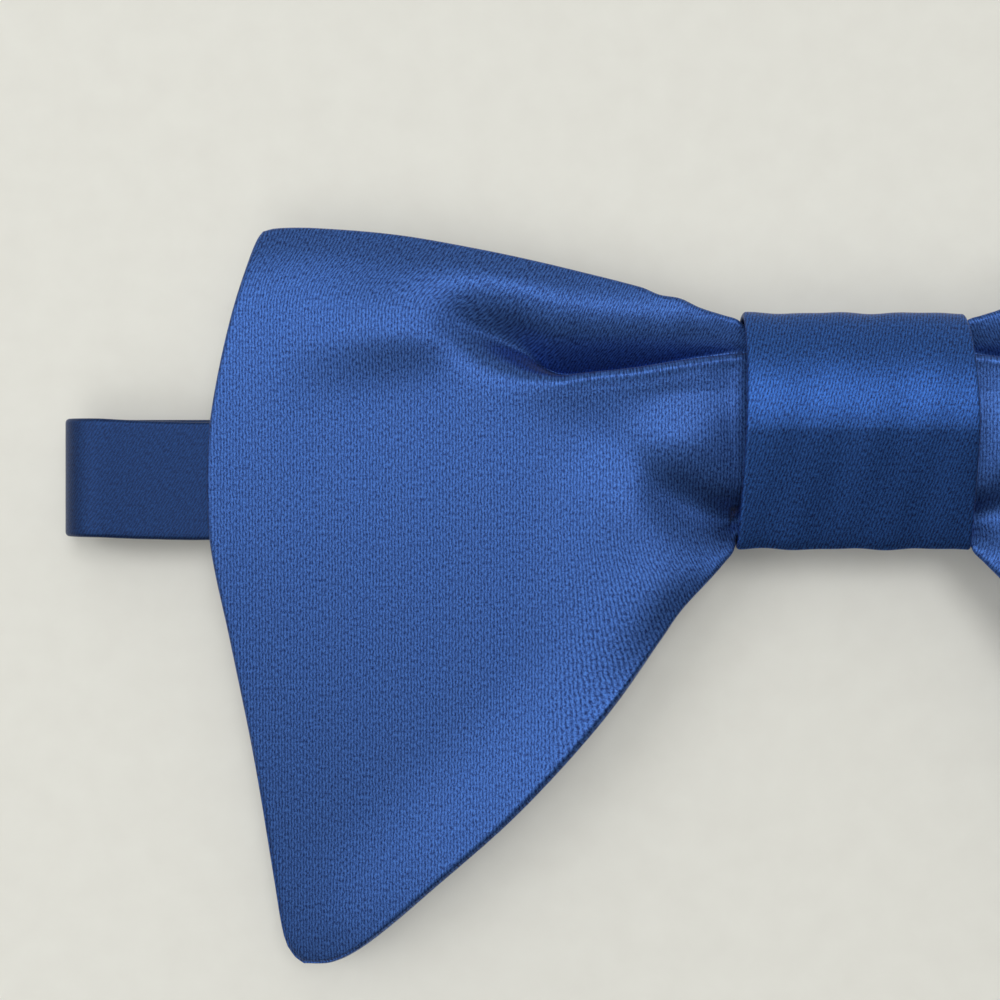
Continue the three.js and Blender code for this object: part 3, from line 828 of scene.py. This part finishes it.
    def seam(self, flat: np.ndarray, distance: np.ndarray) -> np.ndarray:
        """The groove of the seam, which rolls onto the front along the lower outer edge and the tip.

        Args:
            flat: The outline's points.
            distance: Each point's distance from the free edge.

        Returns:
            The groove's depth.
        """
        shown = ease((self.seam_below - flat[..., 1]) / self.seam_below_fade)
        shown = shown * ease((flat[..., 0] - self.seam_past) / self.seam_past_fade)
        return self.seam_depth * shown * bell((distance - self.seam_inset * shown) / self.seam_width)

    def weave(self, flat: np.ndarray) -> np.ndarray:
        """Each point's place in the cloth: the threads run up the wing, and lean above the pleat.

        Across the threads it is out plus a lean times the distance above the crease, where the
        lean fades out past the pleat's far end, plus a share of the distance below the dent near
        the wrap, where the gathers pull the threads round. Along the threads it is y.

        Args:
            flat: The outline's points.

        Returns:
            Millimetres across and along the threads, in the last axis.
        """
        out, y = flat[..., 0], flat[..., 1]
        lean = self.lean_least + self.lean_gain * ease((self.lean_out - out) / self.lean_out_fade)
        off = self.off_crease(flat)
        above = np.maximum(off, 0) * ease(off / (self.lean_fade + self.lean_fade_growth * out))
        low = self.pull_below - y
        below = np.maximum(low, 0) * ease(low / self.pull_below_fade)
        below = below * ease((self.pull_out - out) / self.pull_out_fade)
        return np.stack([self.side.value * (out + lean * above + self.pull * below), y], axis=-1)

    def build(self) -> bpy.types.Object:
        """Builds the closed blade: a front and a back face that meet at the free edge.

        Returns:
            The new object.
        """
        u, v = self.lines()
        flat = self.outline(u, v)
        middle = self.folded(u, flat)
        normal = unit(np.cross(np.gradient(middle, axis=0), np.gradient(middle, axis=1)))
        distance = self.edge_distance(flat)
        half = self.half_thickness(flat, distance)
        front = middle + normal * (half - self.seam(flat, distance))[..., None]
        back = middle - normal * half[..., None]
        sign = np.array([self.side.value, 1, 1])
        points = np.concatenate([front.reshape(-1, 3), back.reshape(-1, 3)]) * sign
        front_ids = np.arange(u.size).reshape(u.shape)
        back_ids = front_ids + u.size
        back_ids[:, 0] = front_ids[:, 0]
        back_ids[:, -1] = front_ids[:, -1]
        back_ids[-1] = front_ids[-1]
        cap_ids = np.stack([back_ids[0], front_ids[0]])
        mirrored = self.side is Side.LEFT
        faces = [quads_of(front_ids, mirrored), quads_of(back_ids, not mirrored)]
        quads = np.concatenate([*faces, quads_of(cap_ids, mirrored)[1:-1]])
        places = np.tile(self.weave(flat).reshape(-1, 2), (2, 1))
        return mesh_object(self.node_name + "_cloth", points, quads, places[quads.ravel()])

    def dress(self, finish: bpy.types.Material) -> None:
        piece = seat(self.build(), finish, self.node_name)


@dataclass
class KnotWrap:
    """The wide satin wrap round the gathered middle, a soft roll with folded rims."""

    half_height: float = 18.5
    half_depth: float = 6.35
    half_width: float = 17.85
    slant: float = 0.45
    middle_z: float = 12.6
    wall: float = 1.0
    roundness: float = 1.45
    back_roundness: float = 2.6
    lift: float = 0.14
    wave: float = 0.006
    wave_in_depth: float = 1.5
    long_wave: float = 2.1
    long_wave_start: float = 1.2
    long_wave_turn: float = 9.0
    short_wave: float = 1.2
    short_wave_share: float = 0.6
    short_wave_turn: float = 5.0
    weave_slant: float = 0.28
    sides: int = 260
    steps: int = 96
    rim_steps: int = 13

    def section(self, angle: np.ndarray, inset: np.ndarray) -> tuple[np.ndarray, np.ndarray]:
        """The wrap's section across the bow.

        A rounded oval: y and z are the half height and half depth, each less the inset, times the
        cosine and sine of the angle raised to the power 2 over the roundness. The front is nearer
        to a roof than the back, and its depth grows by the lift times y.

        Args:
            angle: Turn from the upper edge, over the front.
            inset: How far inside the outer face.

        Returns:
            y and z.
        """
        c, s = np.cos(angle), np.sin(angle)
        power = np.where(s > 0, 2 / self.roundness, 2 / self.back_roundness)
        y = (self.half_height - inset) * np.sign(c) * np.abs(c) ** power
        depth = self.half_depth - inset + np.where(s > 0, self.lift * y, 0)
        return y, self.middle_z + depth * np.sign(s) * np.abs(s) ** power

    def profile(self) -> tuple[np.ndarray, np.ndarray]:
        """The wall cut along the bow: a long flat loop whose ends are half round.

        Returns:
            The place along the bow from -1 to 1, and the inset from the outer face.
        """
        radius = self.wall / 2
        turn = np.linspace(0, math.pi, self.rim_steps)[1:-1]
        flat = np.linspace(-1, 1, self.steps)
        end = 1 + radius * np.sin(turn) / self.half_width
        inset = radius * (1 - np.cos(turn))
        along = np.concatenate([flat, end, -flat, -end])
        inner = np.full_like(flat, self.wall)
        return along, np.concatenate([np.zeros_like(flat), inset, inner, self.wall - inset])

    def build(self) -> bpy.types.Object:
        """Carries the wall's profile round the section, as a closed ring.

        The rims slant with y. Two sines along the bow add slight waves to y and to the depth, as
        the gathers underneath do.

        Returns:
            The new object.
        """
        along, inset = self.profile()
        angle = -np.linspace(0, math.tau, self.sides + 1) - math.pi / 2
        turn, place = np.meshgrid(angle, along, indexing="ij")
        y, z = self.section(turn, np.broadcast_to(inset, turn.shape))
        x = place * (self.half_width - self.wall / 2 - self.slant * y / self.half_height)
        long = np.sin(x / self.long_wave + self.long_wave_start + y / self.long_wave_turn)
        short = np.sin(x / self.short_wave - y / self.short_wave_turn)
        wave = self.wave * (long + self.short_wave_share * short)
        deep = self.middle_z + (z - self.middle_z) * (1 + self.wave_in_depth * wave)
        points = np.stack([x, y * (1 + wave), deep], axis=-1)
        girth = np.broadcast_to(way_along(np.stack([y[:, 0], z[:, 0]], axis=-1))[:, None], y.shape)
        weave = np.stack([x - self.weave_slant * girth, girth], axis=-1)
        weave = np.concatenate([weave, weave[:, :1]], axis=1)
        return ring_object("knot_wrap_cloth", points[:-1], weave, flip=True)

    def dress(self, finish: bpy.types.Material) -> None:
        """Builds the wrap and gives it its satin.

        Args:
            finish: Its satin.
        """
        piece = seat(self.build(), finish, "knot_wrap")


@dataclass
class NeckBand:
    """The flat satin band: one closed loop behind the wings, through the wrap and back underneath."""

    width: float = 19.0
    thickness: float = 1.6
    edge_radius: float = 0.75
    fold_out: float = 118.7
    fold_top: float = 10.2
    fold_reach: float = 1.25
    lower_y: float = -7.0
    clasp_x: float = 62.0
    clasp_flat: float = 4.5
    clasp_ramp: float = 12.0
    clasp_rise: float = 1.3
    groove_depth: float = 0.3
    groove_turn: float = 0.28
    weave_slant: float = 0.6
    step: float = 1.0
    fold_steps: int = 25
    face_steps: int = 26
    edge_steps: int = 15

    def route(self) -> np.ndarray:
        """The band's middle line, from behind the wrap out to the right, under and round to the left.

        The folds are half circles stretched outwards, and the lower stretch rises by a smooth step
        on both sides of the clasp.

        Returns:
            Its points, whose last meets the first.
        """
        count = round(self.fold_out / self.step)
        out = np.linspace(0, self.fold_out, count, endpoint=False)
        upper = np.stack([out, BAND_UPPER.read("y", out), BAND_UPPER.read("z", out)], axis=-1)
        middle = (self.fold_top + self.thickness / 2) / 2
        radius = self.fold_top - middle
        share = np.linspace(0, 1, self.fold_steps)
        turn_out = self.fold_out + self.fold_reach * radius * np.sin(math.pi * share)
        turn_y = BAND_UPPER.last("y") + (self.lower_y - BAND_UPPER.last("y")) * share
        turn = np.stack([turn_out, turn_y, middle + radius * np.cos(math.pi * share)], axis=-1)
        half = np.concatenate([upper, turn])
        x = np.linspace(self.fold_out, -self.fold_out, 2 * count + 1)[1:-1]
        beside = np.abs(x - self.clasp_x)
        rise = self.clasp_rise * ease((self.clasp_flat + self.clasp_ramp - beside) / self.clasp_ramp)
        lower = np.stack([x, np.full_like(x, self.lower_y), self.thickness / 2 + rise], axis=-1)
        left = half[:0:-1] * np.array([-1, 1, 1])
        return np.concatenate([half, lower, left])

    def section(self) -> np.ndarray:
        """The band's section: two pressed layers with rounded folds and a line between them.

        The faces are level, their long edges are half round, and the groove between the two
        layers shows along both edges.

        Returns:
            Its points, y and z from the middle line.
        """
        half, side, edge = self.thickness / 2, self.width / 2, self.edge_radius
        across = np.linspace(-side + edge, side - edge, self.face_steps)
        turn = np.linspace(math.pi / 2, -math.pi / 2, self.edge_steps)[1:-1]
        groove = self.groove_depth * bell(turn / self.groove_turn)
        right = np.stack([side - edge + (edge - groove) * np.cos(turn), half * np.sin(turn)], axis=-1)
        top = np.stack([across, np.full_like(across, half)], axis=-1)
        return np.concatenate([top, right, -top, -right])

    def build(self) -> bpy.types.Object:
        """Carries the section round the route, flat side to the surface, as a closed ring.

        Returns:
            The new object.
        """
        route, section = self.route(), self.section()
        tangent = np.roll(route, -1, axis=0) - np.roll(route, 1, axis=0)
        normal = unit(np.stack([-tangent[:, 2], np.zeros(len(route)), tangent[:, 0]], axis=-1))
        across = np.array([0.0, 1.0, 0.0])
        points = route[:, None] + section[None, :, :1] * across + section[None, :, 1:] * normal[:, None]
        along = way_along(np.concatenate([route, route[:1]]))
        around = way_along(np.concatenate([section, section[:1]]))
        length, girth = np.meshgrid(along, around, indexing="ij")
        weave = np.stack([length - self.weave_slant * girth, girth], axis=-1)
        return ring_object("neck_band_cloth", points, weave, flip=False)

    def dress(self, finish: bpy.types.Material) -> None:
        """Builds the band and gives it its satin."""
        piece = seat(self.build(), finish, "neck_band")


@dataclass
class BandClasp:
    """The plain metal ring round the band's hidden stretch."""

    length: float = 7.0
    bar: float = 1.0
    clearance: float = 0.3
    corner: float = 0.9
    rounding: float = 0.35
    corner_steps: int = 9
    bar_steps: int = 5

    def build(self, band: NeckBand) -> bpy.types.Object:
        """Carries a rounded bar section round a rectangular ring with rounded corners.

        Args:
            band: The band that passes through the ring.

        Returns:
            The new object.
        """
        half_y = band.width / 2 + self.clearance + self.bar / 2
        half_z = band.thickness / 2 + self.clearance + self.bar / 2
        ring, outward = rounded_rectangle(half_y, half_z, self.corner, self.corner_steps)
        section, _ = rounded_rectangle(self.length / 2, self.bar / 2, self.rounding, self.bar_steps)
        y = band.lower_y + ring[:, None, 0] + section[None, :, 1] * outward[:, None, 0]
        z = half_z + self.bar / 2 + ring[:, None, 1] + section[None, :, 1] * outward[:, None, 1]
        x = np.broadcast_to(band.clasp_x + section[None, :, 0], y.shape)
        flat = np.stack([x, y], axis=-1)
        flat = np.concatenate([flat, flat[:1]])
        flat = np.concatenate([flat, flat[:, :1]], axis=1)
        return ring_object("band_clasp_ring", np.stack([x, y, z], axis=-1), flat, flip=False)

    def dress(self, band: NeckBand, finish: bpy.types.Material) -> None:
        """Builds the ring and gives it its metal."""
        seat(self.build(band), finish, "band_clasp")


@dataclass(frozen=True)
class Lamp:
    """A square soft light, which may light the cloth without being mirrored in it."""

    name: str
    place: tuple[float, float, float]
    size: float
    power: float
    mirrored: bool = True

    def hang(self, aim: tuple[float, float, float]) -> None:
        """Hangs the lamp and turns it to face a place.

        Args:
            aim: The place, in metres.
        """
        light = bpy.data.lights.new(self.name, "AREA")
        light.size = self.size
        light.energy = self.power
        lamp = bpy.data.objects.new(self.name, light)
        lamp.location = self.place
        lamp.rotation_mode = "QUATERNION"
        lamp.rotation_quaternion = (Vector(aim) - Vector(self.place)).to_track_quat("-Z", "Y")
        lamp.visible_glossy = self.mirrored
        bpy.context.scene.collection.objects.link(lamp)


@dataclass
class Studio:
    """The pale surface, the soft light from above the bow's upper edge and the camera straight above."""

    camera_height: float = 0.230
    look_x: float = -0.05536
    look_y: float = -0.01079
    lens: float = 50.0
    floor_size: float = 3.0
    room_colour: str = "f4f3ee"
    wall_power: float = 0.76
    wall_least: float = 0.04
    wall_falloff: float = 2.2
    ceiling_power: float = 0.95
    ceiling_way: tuple[float, float, float] = (-0.32, -0.40, 0.86)
    lamps: tuple[Lamp, ...] = (
        Lamp("window", (0.31, 0.70, 2.45), 1.1, 19.5),
        Lamp("side_window", (-0.70, 0.12, 0.78), 0.5, 2.2),
        Lamp("far_window", (-0.05, 2.40, 2.60), 1.5, 2.0, mirrored=False),
        Lamp("near_wall", (0.0, -1.50, 1.90), 1.5, 5.0, mirrored=False),
    )

    def floor(self) -> None:
        """Lays the plain surface just under the bow tie."""
        half = self.floor_size / 2
        corners = [(-half, -half, 0), (half, -half, 0), (half, half, 0), (-half, half, 0)]
        mesh = bpy.data.meshes.new("table")
        mesh.from_pydata(corners, [], [(0, 1, 2, 3)])
        table = bpy.data.objects.new("table", mesh)
        bpy.context.scene.collection.objects.link(table)
        table.data.materials.append(PaleBoard().material())

    def room(self) -> None:
        """Sets the room's even light.

        Its walls are brighter towards the bow's upper side, by a power of the way's y, and a round
        patch of the ceiling is bright.
        """
        world = bpy.data.worlds.new("room")
        bpy.context.scene.world = world
        world.use_nodes = True
        tree = world.node_tree
        tree.nodes.clear()
        way = node(tree, "TexCoord").outputs["Generated"]
        side = node(tree, "SeparateXYZ", Vector=way).outputs["Y"]
        towards = node(tree, "MapRange", {"From Min": -0.9, "From Max": 0.8}, Value=side).outputs["Result"]
        curve = node(tree, "Math", {"operation": "POWER", 1: self.wall_falloff}, in0=towards).outputs[0]
        scaled = {"operation": "MULTIPLY_ADD", 1: self.wall_power, 2: self.wall_least}
        wall = node(tree, "Math", scaled, in0=curve).outputs[0]
        dot = {"operation": "DOT_PRODUCT", 1: self.ceiling_way}
        near = node(tree, "VectorMath", dot, in0=way).outputs["Value"]
        patch = {"From Min": 0.84, "From Max": 0.94, "To Min": 0.0, "To Max": self.ceiling_power}
        ceiling = node(tree, "MapRange", patch, Value=near).outputs["Result"]
        power = node(tree, "Math", {"operation": "ADD"}, in0=wall, in1=ceiling).outputs[0]
        back = node(tree, "Background", {"Color": linear(self.room_colour)}, Strength=power)
        node(tree, "OutputWorld", Surface=back.outputs["Background"])

    def camera(self) -> None:
        """Sets the camera straight above the left wing, as the photo has it."""
        data = bpy.data.cameras.new("camera")
        data.lens = self.lens
        data.sensor_width = 36.0
        data.clip_start = 0.01
        camera = bpy.data.objects.new("camera", data)
        camera.location = (self.look_x, self.look_y, self.camera_height)
        bpy.context.scene.collection.objects.link(camera)
        bpy.context.scene.camera = camera
        bpy.context.scene.view_settings.view_transform = "Standard"
        bpy.context.scene.view_settings.look = "None"

    def build(self) -> None:
        """Sets up the camera, the surface, the room's light and the lamps."""
        self.camera()
        self.floor()
        self.room()
        for lamp in self.lamps:
            lamp.hang((self.look_x, self.look_y, 0.0))


def main() -> None:
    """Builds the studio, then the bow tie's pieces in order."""
    Studio().build()
    wing_satin = WING_SATIN.material()
    Wing("left_wing", Side.LEFT, folds=1.0).dress(wing_satin)
    Wing("right_wing", Side.RIGHT, folds=0.92).dress(wing_satin)
    KnotWrap().dress(WRAP_SATIN_PAINTED_SHADE.material())
    band = NeckBand()
    band.dress(BAND_SATIN_PAINTED_SHADE.material())
    BandClasp().dress(band, CLASP_METAL.material())


if __name__ == "__main__":
    logging.basicConfig(level=logging.INFO, format="%(name)s: %(message)s")
    main()
